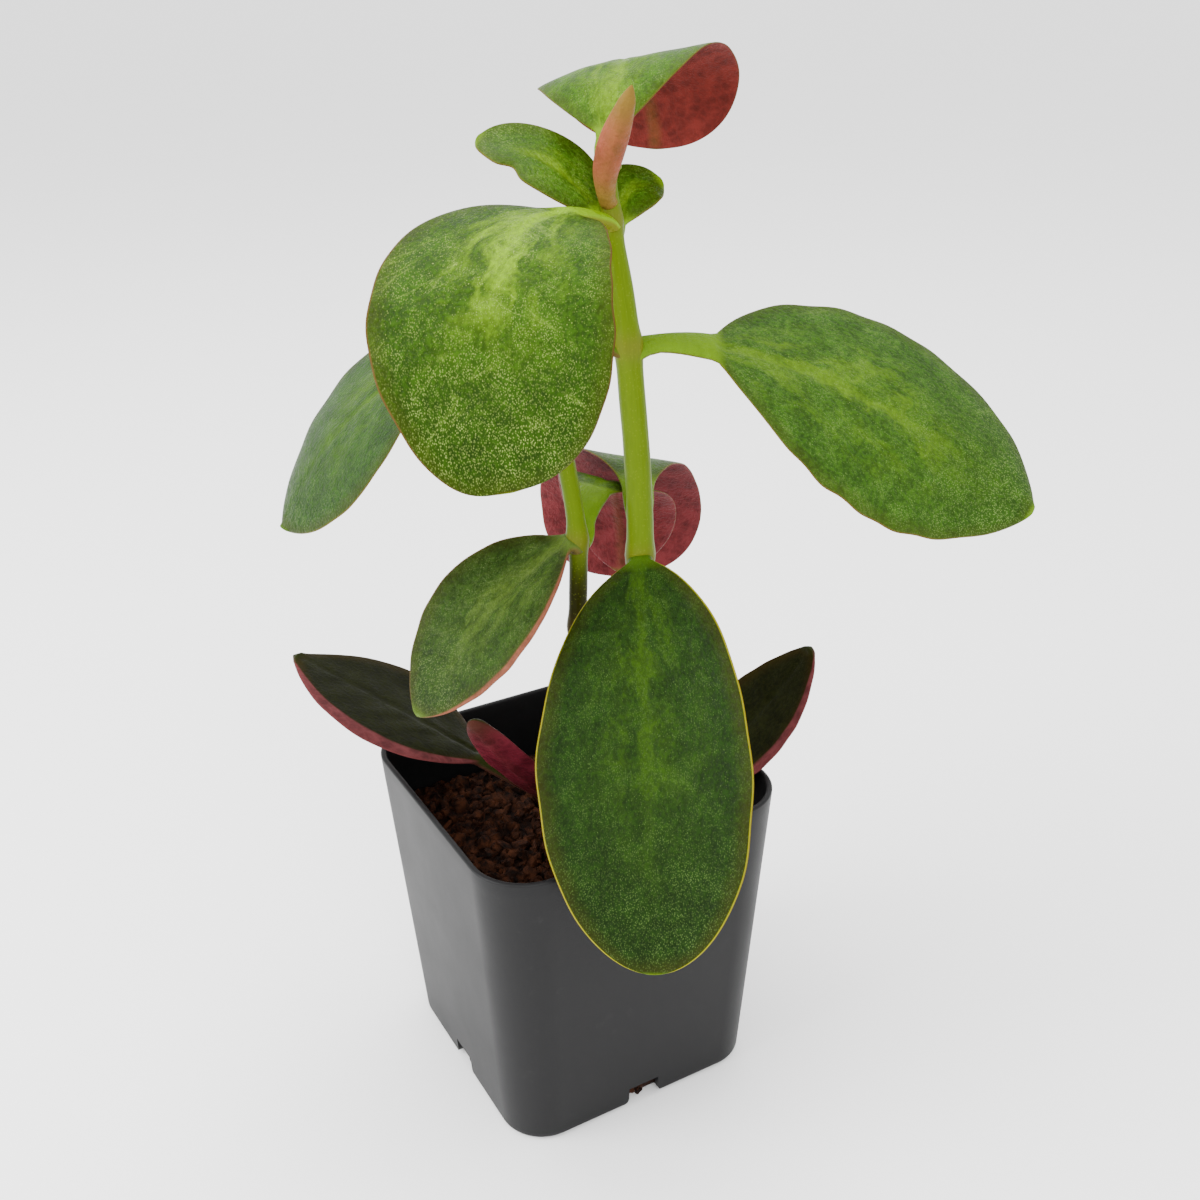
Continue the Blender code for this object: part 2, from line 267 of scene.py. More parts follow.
def new_piece(name, points, faces, material, node=None, attributes=None):
    """Put points in millimetres and faces into a mesh that rides on the body."""
    mesh = bpy.data.meshes.new(name)
    mesh.from_pydata(points.reshape(-1, 3) * MM, [], faces)
    for key, values in (attributes or {}).items():
        layer = mesh.attributes.new(key, "FLOAT", "POINT")
        layer.data.foreach_set("value", values.astype(np.float32).ravel())
    mesh.shade_smooth()
    mesh.materials.append(material)
    mesh.validate()
    piece = add_object(name, mesh)
    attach(piece, BODY)
    if node is not None:
        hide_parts(node)
    return piece


def tube_faces(rows, columns):
    """Quads of a closed tube of rows x columns points, with a cap on each end."""
    row, column = np.meshgrid(np.arange(rows - 1), np.arange(columns), indexing="ij")
    following = (column + 1) % columns
    quads = np.stack([row * columns + column, row * columns + following,
                      (row + 1) * columns + following, (row + 1) * columns + column], -1).reshape(-1, 4)
    first_cap = list(range(columns))[::-1]
    last_cap = list(range((rows - 1) * columns, rows * columns))
    return quads.tolist() + [first_cap, last_cap]


def unit(vectors):
    """Vectors scaled to length one."""
    return vectors / np.linalg.norm(vectors, axis=-1, keepdims=True)


def smooth_step(values):
    """Zero below 0, one above 1, and an S-shaped cubic between."""
    t = np.clip(values, 0.0, 1.0)
    return t * t * (3 - 2 * t)


def ripple(across, along, seed):
    """A smooth wavy field: the mean of six sine waves with seeded directions and phases."""
    waves = 6
    random = np.random.default_rng(seed)
    total = 0.0
    for _ in range(waves):
        direction = random.normal(size=2)
        total = total + np.sin(across * direction[0] + along * direction[1] + random.uniform(0, 2 * np.pi))
    return total / waves


def between(pair, share):
    """The value at a share of the way from a pair's first value to its second."""
    return pair[0] + (pair[1] - pair[0]) * share


# ---------------------------------------------------------------- material helpers


def tinted(colour, strength):
    """A colour made lighter or darker."""
    return tuple(strength * channel for channel in colour)


class Nodes:
    """A small builder of one material's node tree."""

    def __init__(self, name):
        self.material = bpy.data.materials.new(name)
        self.material.use_nodes = True
        self.tree = self.material.node_tree
        self.shader = self.tree.nodes["Principled BSDF"]

    def add(self, kind, **settings):
        """A node with its settings."""
        node = self.tree.nodes.new(kind)
        for key, value in settings.items():
            setattr(node, key, value)
        return node

    def feed(self, socket, value):
        """Link an output to a socket, or set the socket's own value."""
        if isinstance(value, bpy.types.NodeSocket):
            self.tree.links.new(value, socket)
        elif isinstance(value, tuple) and len(value) == 3 and socket.type == "RGBA":
            socket.default_value = (*value, 1.0)
        else:
            socket.default_value = value

    def math(self, operation, first, second=0.0):
        """One step of arithmetic."""
        node = self.add("ShaderNodeMath", operation=operation)
        self.feed(node.inputs[0], first)
        self.feed(node.inputs[1], second)
        return node.outputs[0]

    def times(self, first, second):
        """A product."""
        return self.math("MULTIPLY", first, second)

    def plus(self, first, second):
        """A sum."""
        return self.math("ADD", first, second)

    def minus(self, first, second):
        """A difference."""
        return self.math("SUBTRACT", first, second)

    def mix(self, share, first, second):
        """A colour between two colours."""
        node = self.add("ShaderNodeMix", data_type="RGBA")
        self.feed(node.inputs["Factor"], share)
        self.feed(node.inputs["A"], first)
        self.feed(node.inputs["B"], second)
        return node.outputs["Result"]

    def shades(self, share, colour, dark, light):
        """A colour between a darker and a lighter shade of itself."""
        return self.mix(share, tinted(colour, dark), tinted(colour, light))

    def ramp(self, value, low, high):
        """Zero at low, one at high, smooth between."""
        node = self.add("ShaderNodeMapRange", interpolation_type="SMOOTHSTEP")
        self.feed(node.inputs["Value"], value)
        node.inputs["From Min"].default_value = low
        node.inputs["From Max"].default_value = high
        return node.outputs["Result"]

    def falloff(self, value, low, high):
        """One at low, zero at high, smooth between."""
        return self.minus(1.0, self.ramp(value, low, high))

    def place(self):
        """Object coordinates."""
        return self.add("ShaderNodeTexCoord").outputs["Object"]

    def attribute(self, name):
        """A point attribute of the piece."""
        return self.add("ShaderNodeAttribute", attribute_name=name).outputs["Fac"]

    def noise(self, scale, detail=3.0, roughness=0.55, vector=None):
        """Cloudy noise."""
        node = self.add("ShaderNodeTexNoise")
        self.feed(node.inputs["Vector"], vector or self.place())
        node.inputs["Scale"].default_value = scale
        node.inputs["Detail"].default_value = detail
        node.inputs["Roughness"].default_value = roughness
        return node.outputs["Fac"]

    def cells(self, scale, vector=None, feature="F1"):
        """Distance to the nearest seed point, or edge, of a cell pattern."""
        node = self.add("ShaderNodeTexVoronoi", feature=feature)
        self.feed(node.inputs["Vector"], vector or self.place())
        node.inputs["Scale"].default_value = scale
        return node.outputs["Distance"]

    def combine(self, x, y, z=0.0):
        """A vector from three numbers."""
        node = self.add("ShaderNodeCombineXYZ")
        for socket, value in zip(node.inputs, (x, y, z)):
            self.feed(socket, value)
        return node.outputs[0]

    def bump(self, height, strength, distance):
        """Surface relief."""
        node = self.add("ShaderNodeBump")
        self.feed(node.inputs["Height"], height)
        node.inputs["Strength"].default_value = strength
        node.inputs["Distance"].default_value = distance
        return node.outputs["Normal"]

    def finish(self, colour, roughness, normal=None, **sockets):
        """Feed the shader. Other sockets get plain values."""
        self.feed(self.shader.inputs["Base Color"], colour)
        self.feed(self.shader.inputs["Roughness"], roughness)
        if normal is not None:
            self.feed(self.shader.inputs["Normal"], normal)
        for key, value in sockets.items():
            self.shader.inputs[key.replace("_", " ")].default_value = value
        return self.material


class LeafNodes(Nodes):
    """A leaf's node tree, with the places and patterns that both of its sides use.

    Attributes, in millimetres: across and along are measured over the blade from the midrib and the
    stalk, half is the blade's half-width and edge the distance from the margin. Shares: upper is one on
    the upper side, blade is one past the stalk, reach runs from stalk to tip, and pick differs by leaf.
    """

    def __init__(self, name):
        super().__init__(name)
        self.across = self.attribute("across")
        self.along = self.attribute("along")
        self.edge = self.attribute("edge")
        self.reach = self.attribute("reach")
        self.on_blade = self.attribute("blade")
        self.pick = self.attribute("pick")
        self.flat = self.combine(self.across, self.along, self.pick)
        self.stretched = self.combine(self.times(self.across, 1.4), self.along, self.pick)
        self.away = self.math("ABSOLUTE", self.across)
        self.wobble = self.noise(0.22, 4.0, 0.62, self.flat)
        self.clouds = self.ramp(self.noise(0.17, 5.0, 0.66, self.flat), 0.34, 0.68)
        self.islands = self.ramp(self.noise(0.95, 3.0, 0.6, self.stretched), 0.36, 0.66)
        self.rib = self.falloff(self.wobbled(self.away, 2.0), 1.2, 3.2)

    def wobbled(self, value, amount):
        """A value made uneven, so that what it bounds looks grown."""
        return self.plus(value, self.times(self.wobble, amount))


def leaf_glow(n, finish):
    """How strongly the midrib glows: over the rib, and in streaks near it, fading towards the tip.

    Streaks fan out from the stalk: their coordinate is across over along, so they spread with it.
    """
    spread = n.math("DIVIDE", n.across, n.plus(n.math("MAXIMUM", n.along, 0.0), 9.0))
    bent = n.plus(n.times(spread, 7.5), n.times(n.noise(0.13, 2.0, 0.5, n.flat), 2.4))
    streaks = n.noise(1.0, 4.0, 0.62, n.combine(bent, n.times(n.along, 0.055), n.pick))
    fan = n.plus(0.08, n.ramp(streaks, 0.40, 0.66))
    share = n.math("DIVIDE", n.away, n.math("MAXIMUM", n.attribute("half"), 1.0))
    core = n.falloff(n.wobbled(share, 0.55), 0.22, 1.10)
    fade_start = finish.glow_reach * 0.45 + 0.10
    fade = n.falloff(n.wobbled(n.reach, 0.25), fade_start, finish.glow_reach + 0.22)
    glow = n.plus(n.times(core, fan), n.times(n.rib, 0.55))
    return n.times(n.math("MINIMUM", glow, 1.0), n.times(fade, finish.glow_strength))


def side_veins(n, finish):
    """Thin side veins that follow one level line of a noise slanted away from the midrib."""
    slant = n.minus(n.along, n.times(n.away, 0.8))
    place = n.combine(n.times(slant, 0.20), n.times(n.across, 0.05), n.pick)
    from_line = n.math("ABSOLUTE", n.minus(n.noise(1.0, 2.0, 0.55, place), 0.5))
    strength = n.times(n.ramp(n.clouds, 0.2, 0.9), 0.28 * finish.glow_strength)
    return n.times(n.falloff(from_line, 0.0, 0.022), strength)


def freckles(n):
    """Two layers of small pale dots: a mist that thickens at the tip, and sharper specks in patches."""
    tip_mist = n.times(n.ramp(n.wobbled(n.reach, 0.3), 0.70, 1.10), 0.34)
    cloud_mist = n.times(n.ramp(n.clouds, 0.1, 0.9), 0.30)
    mist = n.times(n.falloff(n.cells(2.3, n.stretched), 0.16, 0.46), n.plus(tip_mist, cloud_mist))
    patches = n.ramp(n.noise(0.24, 3.0, 0.6, n.flat), 0.34, 0.66)
    chosen = n.ramp(n.noise(1.7, 2.0, 0.5, n.flat), 0.44, 0.62)
    crowd = n.plus(0.12, n.times(n.times(patches, chosen), 0.55))
    specks = n.times(n.falloff(n.cells(1.9, n.stretched), 0.10, 0.34), crowd)
    return mist, specks


def leaf_upper_side(n, finish, glow):
    """Dark clouds and islands under a glow, veins and freckles, and a thin margin line with a blush."""
    blade = finish.blade
    colour = n.shades(n.clouds, blade, 0.58, 1.25)
    colour = n.mix(n.times(n.islands, 0.55), colour, tinted(blade, 1.7))
    colour = n.mix(glow, colour, finish.glow)
    vein_colour = tuple(0.5 * (g + f) for g, f in zip(finish.glow, finish.freckle))
    colour = n.mix(side_veins(n, finish), colour, vein_colour)
    colour = n.mix(n.times(n.minus(1.0, n.islands), 0.32), colour, tinted(blade, 0.50))
    tip_shade = n.times(n.ramp(n.wobbled(n.reach, 0.3), 0.55, 1.15), 0.35)
    colour = n.mix(tip_shade, colour, tinted(blade, 0.45))
    for dots in freckles(n):
        colour = n.mix(dots, colour, finish.freckle)
    blush = n.falloff(n.wobbled(n.edge, 3.0), 1.6, 6.0)
    olive = (0.5 * blade[0] + 0.022, 0.55 * blade[1] + 0.010, blade[2])
    colour = n.mix(n.times(blush, 0.42), colour, olive)
    colour = n.mix(n.falloff(n.edge, 0.14, 0.42), colour, finish.margin)
    stalk = n.shades(n.noise(0.6, 3.0, 0.5, n.flat), finish.glow, 0.75, 1.15)
    return n.mix(n.on_blade, stalk, colour)


def leaf_underside(n, finish):
    """A cloudy blush with a faint net of veins, a little greener along the midrib."""
    blush = finish.underside
    colour = n.shades(n.ramp(n.noise(0.24, 5.0, 0.62, n.flat), 0.32, 0.70), blush, 0.62, 1.30)
    net = n.falloff(n.cells(0.42, n.flat, "DISTANCE_TO_EDGE"), 0.0, 0.22)
    colour = n.mix(n.times(net, 0.30), colour, tinted(blush, 1.5))
    colour = n.mix(n.times(n.rib, 0.15), colour, tinted(finish.glow, 0.5))
    colour = n.mix(n.times(n.falloff(n.edge, 0.1, 1.0), 0.5), colour, tinted(blush, 1.2))
    stalk = n.mix(0.5, tinted(blush, 0.9), tinted(finish.glow, 0.8))
    return n.mix(n.on_blade, stalk, colour)


def leaf_material(name):
    """A mottled green upper side with a glowing midrib and freckles, and a blushed underside."""
    finish = LEAF_FINISHES[name]
    n = LeafNodes(f"{name}_leaf")
    glow = leaf_glow(n, finish)
    upper_side = leaf_upper_side(n, finish, glow)
    colour = n.mix(n.attribute("upper"), leaf_underside(n, finish), upper_side)
    pores = n.noise(2.2, 3.0, 0.6, n.flat)
    relief = n.minus(n.plus(n.times(n.islands, 0.5), n.times(pores, 0.5)), n.times(glow, 0.25))
    roughness = n.plus(0.36, n.times(n.islands, 0.16))
    normal = n.bump(relief, finish.relief, 0.00025)
    return n.finish(colour, roughness, normal, Specular_IOR_Level=finish.sheen)


def stem_material(settings):
    """Yellow-green flesh that turns olive towards the foot, with long faint streaks and fine dots.

    Attributes: height in millimetres, around is the cosine of the angle about the stem, age is one on
    old flesh, and collar is one where leaves grow.
    """
    n = Nodes("fleshy_stem")
    lengthways = n.combine(n.times(n.attribute("around"), 5.0), 0.0, n.times(n.attribute("height"), 0.12))
    streaks = n.noise(1.2, 4.0, 0.6, lengthways)
    fresh = n.shades(n.times(streaks, 0.8), settings.fresh_colour, 0.72, 1.25)
    old = n.shades(streaks, settings.old_colour, 0.7, 1.4)
    colour = n.mix(n.attribute("age"), fresh, old)
    dots = n.falloff(n.cells(1500.0), 0.12, 0.32)
    colour = n.mix(n.times(dots, 0.30), colour, (0.15, 0.19, 0.01))
    colour = n.mix(n.times(n.attribute("collar"), 0.30), colour, (0.12, 0.07, 0.02))
    relief = n.plus(streaks, n.times(n.noise(900.0, 2.0), 0.3))
    return n.finish(colour, 0.40, n.bump(relief, 0.4, 0.00025), Specular_IOR_Level=0.06)


def plastic_material(settings):
    """Moulded black plastic: a fine satin texture, faint upright drag lines and specks of dust."""
    n = Nodes("moulded_plastic")
    place = n.place()
    cloud = n.noise(55.0, 4.0, 0.6, place)
    colour = n.shades(n.times(cloud, 0.8), settings.colour, 0.80, 1.25)
    dust = n.times(n.ramp(n.noise(260.0, 5.0, 0.7, place), 0.58, 0.80), 0.10)
    colour = n.mix(dust, colour, (0.05, 0.05, 0.048))
    split = n.add("ShaderNodeSeparateXYZ")
    n.feed(split.inputs[0], place)
    x, y, z = (n.times(split.outputs[k], scale) for k, scale in enumerate((500.0, 500.0, 14.0)))
    drag_lines = n.noise(1.0, 3.0, 0.6, n.combine(x, y, z))
    grain = n.noise(2600.0, 3.0, 0.6, place)
    relief = n.plus(n.times(grain, 0.7), n.times(drag_lines, 0.5))
    roughness = n.plus(0.40, n.times(cloud, 0.14))
    return n.finish(colour, roughness, n.bump(relief, 0.30, 0.00008), Specular_IOR_Level=0.13)


def bark_material(settings, name, lift):
    """Moist bark: dark with lighter red-brown faces, matt and grainy. Lift brightens those faces."""
    n = Nodes(name)
    place = n.place()
    light = tinted(settings.light_colour, lift)
    tone = n.ramp(n.noise(420.0, 3.0, 0.6, place), 0.32, 0.74)
    colour = n.mix(tone, tuple(settings.dark_colour), light)
    grit = n.noise(2400.0, 4.0, 0.7, place)
    colour = n.mix(n.times(n.ramp(grit, 0.45, 0.85), 0.5), colour, tinted(light, 0.25))
    return n.finish(colour, 0.85, n.bump(grit, 0.8, 0.0003), Specular_IOR_Level=0.10)


# ---------------------------------------------------------------- leaves


STAND_OFF = 0.35
STAND_OFF_WHEN_UPRIGHT = 1.4
JOIN_ROWS = 9
JOIN_SINK = 1.6
VEIN_RATE = 0.78
VEIN_SLANT = 0.75


def stem_at(stem, height):
    """A stem's centre and radius at a height."""
    stations = np.array(SIDE_STEM if stem == "side" else MAIN_STEM)
    x, y, radius = (np.interp(height, stations[:, 2], stations[:, k]) for k in (0, 1, 3))
    return np.array((x, y, height)), radius


def leaf_root(leaf):
    """Where a leaf's own length starts: just outside its stem, on the side it heads for."""
    if leaf.stem == "apex":
        return np.array((*MAIN_STEM[-1][:2], leaf.height))
    centre, radius = stem_at(leaf.stem, leaf.height)
    lift = abs(np.sin(np.radians(leaf.slope[0])))
    stand_off = radius + STAND_OFF + STAND_OFF_WHEN_UPRIGHT * lift
    heading = np.radians(leaf.heading[0])
    return centre + stand_off * np.array((np.cos(heading), np.sin(heading), 0.0))


def leaf_midrib(leaf, rows):
    """Points and directions along a leaf: slope, heading and roll change from stem to tip.

    The points add up the forward direction, step by step.
    """
    along = np.linspace(0.0, 1.0, rows)
    heading = np.radians(between(leaf.heading, along))
    slope = np.radians(between(leaf.slope, along ** leaf.bend_ease))
    roll = np.radians(between(leaf.roll, along))
    forward = np.stack(
        [np.cos(slope) * np.cos(heading), np.cos(slope) * np.sin(heading), np.sin(slope)], -1)
    level = np.stack([-np.sin(heading), np.cos(heading), 0 * heading], -1)
    across = level * np.cos(roll)[:, None] + np.cross(forward, level) * np.sin(roll)[:, None]
    steps = (forward[1:] + forward[:-1]) / 2 * leaf.length / (rows - 1)
    points = leaf_root(leaf) + np.vstack([np.zeros(3), np.cumsum(steps, axis=0)])
    return along * leaf.length, points, forward, across


def join_to_stem(leaf, along, points, forward, across):
    """Add rows from inside the stem to the leaf's root, on a quadratic curve between the two."""
    centre, radius = stem_at(leaf.stem, leaf.height)
    if leaf.stem == "apex":
        start = np.array((*MAIN_STEM[-1][:2], MAIN_STEM[-1][2] - 2.0))
    else:
        start = centre + 0.25 * radius * unit(points[0] - centre) - np.array((0.0, 0.0, JOIN_SINK))
    bend = points[0] - forward[0] * 0.6 * np.linalg.norm(points[0] - start)
    t = np.linspace(0.0, 1.0, JOIN_ROWS)[:-1, None]
    curve = (1 - t) ** 2 * start + 2 * t * (1 - t) * bend + t ** 2 * points[0]
    tangent = unit(2 * (1 - t) * (bend - start) + 2 * t * (points[0] - bend))
    side = unit(across[0] - (tangent @ across[0])[:, None] * tangent)
    length = np.linalg.norm(points[0] - start)
    return (np.concatenate([(t[:, 0] - 1) * length, along]), np.vstack([curve, points]),
            np.vstack([tangent, forward]), np.vstack([side, across]))


def blade_outline(leaf, along):
    """Half-width: a rising and a falling power, widest where they balance, joined to the stalk."""
    share = np.clip((along - leaf.stalk) / (leaf.length - leaf.stalk), 0.0, 1.0)
    widest = leaf.base_fullness / (leaf.base_fullness + leaf.tip_fullness)
    rise = (share / widest) ** leaf.base_fullness
    fall = ((1 - share) / (1 - widest)) ** leaf.tip_fullness
    blade = leaf.width / 2 * rise * fall
    stalk = leaf.stalk_width / 2 * np.sqrt(1 - share) * (1 + 0.25 * np.exp(-np.maximum(along, 0.0) / 1.5))
    if leaf.stalk > 8.0:
        stalk = stalk * (1 + 0.65 * smooth_step(along / leaf.stalk))
    return np.maximum(np.hypot(stalk, blade), 0.05), blade, share


def leaf_rows(leaf, rows):
    """The midrib's rows from inside the stem to the tip, with the direction that faces up from it."""
    along, *midrib = leaf_midrib(leaf, rows)
    # Rows crowd towards the tip, where the outline turns fastest.
    crowd = np.sin(np.linspace(0.0, 1.0, rows) * np.pi / 2) ** 0.8 * leaf.length
    points, forward, across = (
        np.stack([np.interp(crowd, along, rowset[:, k]) for k in range(3)], -1) for rowset in midrib)
    along, points, forward, across = join_to_stem(leaf, crowd, points, unit(forward), unit(across))
    return along, points, across, unit(np.cross(forward, across))


def cup_angles(leaf, along, place):
    """How far each side of a blade curls, in radians, blended over a strip on the midrib."""
    flattest = 0.002
    fraction = np.clip(along / leaf.length, 0.0, 1.0)[:, None]
    on_left = smooth_step(place / 0.16 + 0.5)
    degrees = between(leaf.right_cup, fraction) * (1 - on_left) + between(leaf.left_cup, fraction) * on_left
    cup = np.radians(degrees)
    return np.where(np.abs(cup) < flattest, flattest, cup)


def blade_relief(along, place, millimetres, margin_wave, seed):
    """Height added to a blade: a waving margin, and low swellings between slanted side veins."""
    wave = ripple(np.sign(place) * 3.0, along * 0.35, seed) * np.abs(place) ** 3
    swell = ripple(millimetres * 0.25, along * 0.25, seed + 50)
    vein = np.sin((along - VEIN_SLANT * np.abs(millimetres)) * VEIN_RATE + 2.0 * swell)
    return margin_wave / MM * wave + 0.10 * vein * (1 - np.abs(place)) + 0.18 * swell


def bite_pull(leaf, along, place, across):
    """Moves points of one margin inwards, in a bell curve along it, as if something had eaten there."""
    bite_row = 0.62 * leaf.length
    near = np.exp(-((along - bite_row) / leaf.bite) ** 2) * smooth_step(place)
    return -(near * leaf.bite * np.abs(place))[..., None] * across[:, None]


def around_both_sheets(lower, upper):
    """Rings that run over the lower sheet and back over the upper one, sharing the margin points."""
    return np.concatenate([lower, upper[:, -2:0:-1]], axis=1)


def build_leaf(leaf, sizes, material, seed):
    """A closed leaf: two sheets a lens-shaped thickness apart, meeting in a rounded margin.

    Across the blade each side of the midrib is an arc, and the outline wavers a little. Relief, a
    groove over the midrib and a keel under it are added, and a bite is taken out of one leaf. A leaf
    with a fold gets a strip along one margin in the underside's colours.
    """
    along, points, across, up = leaf_rows(leaf, sizes.rows)
    half, blade, share = blade_outline(leaf, along)
    along, half, blade, share = (values[:, None] for values in (along, half, blade, share))
    columns = sizes.columns
    place = 0.7 * -np.cos(np.linspace(0.0, np.pi, columns)) + 0.3 * np.linspace(-1.0, 1.0, columns)
    side = np.sign(place)
    on_blade = smooth_step(blade / (leaf.stalk_width * 0.9))
    size = half * (1 + 0.035 * on_blade * ripple(side * 2.0, along * 0.22, seed + 9))
    millimetres = place * size

    cup = cup_angles(leaf, along[:, 0], place)
    turn = cup * np.abs(place)
    sideways = side * np.sin(turn) / cup * size
    rise = (1 - np.cos(turn)) / cup * size
    room = np.minimum(half / (leaf.width / 2), 1.0)
    rise = rise + blade_relief(along, place, millimetres, sizes.margin_wave, seed) * on_blade * room
    outwards = np.cos(turn)[..., None] * up[:, None] - (side * np.sin(turn))[..., None] * across[:, None]
    sheet = points[:, None] + sideways[..., None] * across[:, None] + rise[..., None] * up[:, None]

    stalk_half = sizes.stalk_thickness / MM / 2
    thick = stalk_half + (sizes.blade_thickness - sizes.stalk_thickness) / MM / 2 * on_blade
    lens = np.minimum(thick, 0.6 * size) * np.sqrt(np.clip(1 - place ** 2, 0.0, 1.0)) ** 0.9
    midrib = np.exp(-(millimetres / 0.9) ** 2) * on_blade * (1 - share) ** 0.5
    groove = sizes.groove_depth / MM * midrib
    upper_sheet = sheet + (lens - groove)[..., None] * outwards
    lower_sheet = sheet - (lens + 1.4 * groove)[..., None] * outwards
    if leaf.bite > 0.0:
        pull = bite_pull(leaf, along, place, across)
        upper_sheet = upper_sheet + pull
        lower_sheet = lower_sheet + pull

    grid = np.ones_like(millimetres)
    edge = (1 - np.abs(place)) * size
    upper = around_both_sheets(0.0 * grid, grid)
    upper[:, (0, columns - 1)] = 0.5
    band = abs(leaf.fold) * np.sin(np.pi * np.clip(share * 1.05, 0.0, 1.0)) ** 0.6
    folded = smooth_step((band - edge) / 0.5 + 0.5) * (place * np.sign(leaf.fold) > 0)
    fields = {
        "across": millimetres,
        "along": (along - leaf.stalk) * grid,
        "reach": share * grid,
        "pick": 11.0 * (seed + 1) * grid,
        "half": size * grid,
        "edge": np.minimum(edge, leaf.length - along),
        "blade": smooth_step((blade - 1.2) / 3.0) * grid,
    }
    attributes = {key: around_both_sheets(field, field) for key, field in fields.items()}
    attributes["upper"] = upper * (1 - around_both_sheets(folded, folded))
    rings = around_both_sheets(lower_sheet, upper_sheet)
    faces = tube_faces(*rings.shape[:2])
    return new_piece(f"{leaf.name}_surface", rings, faces, material, leaf.name, attributes)


# ---------------------------------------------------------------- stems


def smooth_stations(stem, per_gap):
    """Stations on a smooth curve through a stem's own, by Catmull-Rom interpolation."""
    given = np.array(stem)
    padded = np.vstack([2 * given[0] - given[1], given, 2 * given[-1] - given[-2]])
    t = (np.arange(per_gap) / per_gap)[:, None]
    rows = []
    for before, start, end, after in zip(padded, padded[1:], padded[2:], padded[3:]):
        square = 2 * before - 5 * start + 4 * end - after
        cube = 3 * start - before - 3 * end + after
        rows.append(0.5 * (2 * start + (end - before) * t + square * t ** 2 + cube * t ** 3))
    rows.append(given[-1:])
    return np.vstack(rows)


def build_stem(name, stem, swellings, sizes, material, old_until):
    """A stem: level circles along its stations, wider in a bell curve at each node, with a round tip.

    Flesh below old_until is old. The radius also wavers by a few hundredths with height and angle.
    """
    stations = smooth_stations(stem, 26)
    tip = stations[-1]
    cap = np.linspace(0.0, np.pi / 2 * 0.97, 8)[1:]
    cap_rows = np.stack([0 * cap + tip[0], 0 * cap + tip[1],
                         tip[2] + 0.8 * np.sin(cap), tip[3] * np.cos(cap)], -1)
    stations = np.vstack([stations, cap_rows])
    height = stations[:, 2]
    bell = sum(np.exp(-((height - level) / 2.6) ** 2) for level in swellings)
    angles = np.arange(sizes.sides) * 2 * np.pi / sizes.sides
    waver = 0.05 * ripple(3 * np.cos(angles)[None], height[:, None] * 0.2, len(name))
    radius = (stations[:, 3:] + sizes.node_swelling / MM * bell[:, None]) * (1 + waver)
    radius[-1] = 0.08
    around = np.stack([np.cos(angles), np.sin(angles), 0 * angles], -1)
    points = stations[:, None, :3] + radius[..., None] * around[None]
    grid = np.ones((len(stations), sizes.sides))
    attributes = {
        "height": height[:, None] * grid,
        "around": np.cos(angles)[None] * grid,
        "age": smooth_step((old_until - height) / 14.0)[:, None] * grid,
        "collar": bell[:, None] * grid,
    }
    faces = tube_faces(*points.shape[:2])
    return new_piece(f"{name}_surface", points, faces, material, name, attributes)


# ---------------------------------------------------------------- pot and mix

POT_HEIGHT = 72.0
POT_TOP_WIDTH = 70.0
POT_BASE_WIDTH = 60.0
POT_TOP_CORNER = 12.4
POT_BASE_CORNER = 9.8
POT_FLOOR = 1.5
NOTCH_HALF_WIDTH = 3.75
NOTCH_HEIGHT = 5.0
NOTCH_FLARE = 2.3
BASE_ROUNDING = 1.2
MIX_GAP = 1.6
SOIL_EDGE_LEVEL = 55.0
SOIL_CROWN_LEVEL = 57.0
CRUMB_AREA_HALF = 31.2
CRUMB_AREA_CORNER = 9
CRUMBS_PER_NOTCH = 14


def rounded_square(half, corner, steps):
    """A square with round corners as points in a plane, anticlockwise: four arcs and their chords."""
    start = np.arange(4)[:, None] * np.pi / 2
    angles = start + np.linspace(0.0, np.pi / 2, steps + 1)[None]
    middle = start + np.pi / 4
    centre = half - corner
    x = np.sign(np.cos(middle)) * centre + corner * np.cos(angles)
    y = np.sign(np.sin(middle)) * centre + corner * np.sin(angles)
    return np.stack([x.ravel(), y.ravel()], -1)


def pot_outline(level, inset, steps):
    """The pot's outline at a height, moved inwards, as points in space."""
    share = level / POT_HEIGHT
    half = (POT_BASE_WIDTH + share * (POT_TOP_WIDTH - POT_BASE_WIDTH)) / 2 - inset
    corner = max(POT_BASE_CORNER + share * (POT_TOP_CORNER - POT_BASE_CORNER) - inset, 0.4)
    flat = rounded_square(half, corner, steps)
    return np.column_stack([flat, np.full(len(flat), level)])


def notch_shape(quarter):
    """A drain notch: an upright slot whose foot flares outwards in two round shoulders.

    Its outline is a rectangle above, and below it a quarter circle on each side that opens to the base.
    """
    bend = np.linspace(0.0, np.pi / 2, 9)
    foot = [(NOTCH_HALF_WIDTH + NOTCH_FLARE * (1 - np.sin(a)), NOTCH_FLARE * (1 - np.cos(a)) - 0.001)
            for a in bend]
    right = [(NOTCH_HALF_WIDTH + NOTCH_FLARE, -2.0), *foot, (NOTCH_HALF_WIDTH, NOTCH_HEIGHT)]
    outline = np.array(right + [(-x, z) for x, z in right[::-1]])
    near, far = POT_BASE_WIDTH / 2 - 4.0, POT_BASE_WIDTH / 2 + 3.0
    points = np.array([np.column_stack([outline[:, 0], np.full(len(outline), -away), outline[:, 1]])
                       for away in (near, far)])
    turn = quarter * np.pi / 2
    spin = np.array([[np.cos(turn), -np.sin(turn), 0], [np.sin(turn), np.cos(turn), 0], [0, 0, 1]])
    return points @ spin.T


